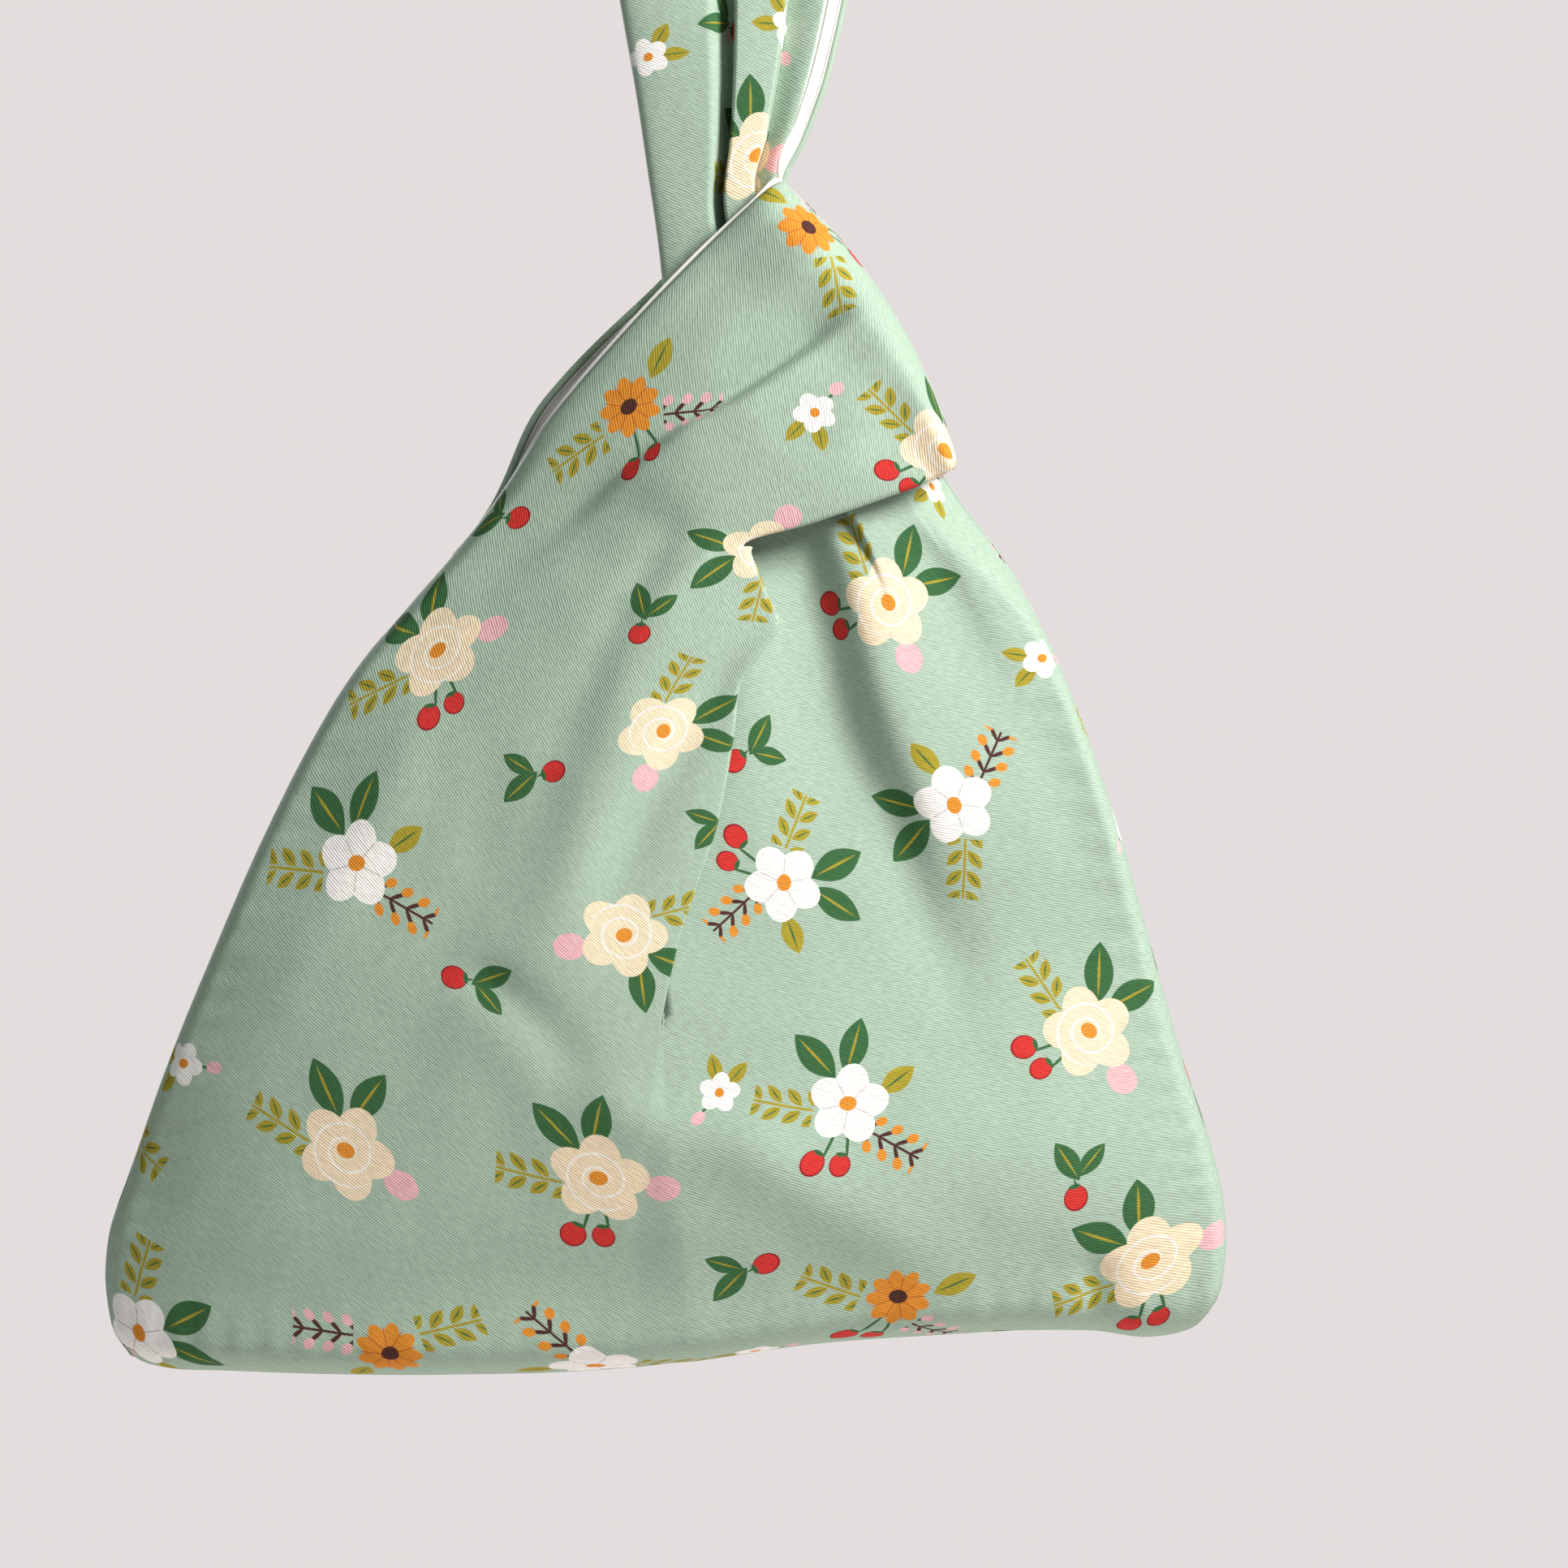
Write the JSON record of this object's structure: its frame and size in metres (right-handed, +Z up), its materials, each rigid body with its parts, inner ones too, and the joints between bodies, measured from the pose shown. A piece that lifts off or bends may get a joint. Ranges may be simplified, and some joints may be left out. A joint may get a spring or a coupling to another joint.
{
  "type": "knot bag",
  "caption": "Small cotton knot bag hanging closed: its long handle runs through the wide short handle over a softly filled body.",
  "frame": {"origin": "underside of the cloth at the top of the long handle, where a hook or a wrist holds it", "axes": "+Z up along the long handle, +X to the right across the front panel, +Y from the front panel to the back panel"},
  "size_m": [0.2505, 0.0732, 0.3717],
  "materials": {
    "printed_cotton": "matte mint cotton twill with a small floral print",
    "lining_cotton": "matte off-white cotton"
  },
  "bodies": {
    "root": {"front_panel": "printed_cotton", "back_panel": "printed_cotton", "short_lining_front": "lining_cotton", "short_lining_back": "lining_cotton", "long_lining_neck_front": "lining_cotton", "long_lining_neck_back": "lining_cotton", "long_lining_arm_front": "lining_cotton", "long_lining_arm_back": "lining_cotton"}
  },
  "joints": []
}
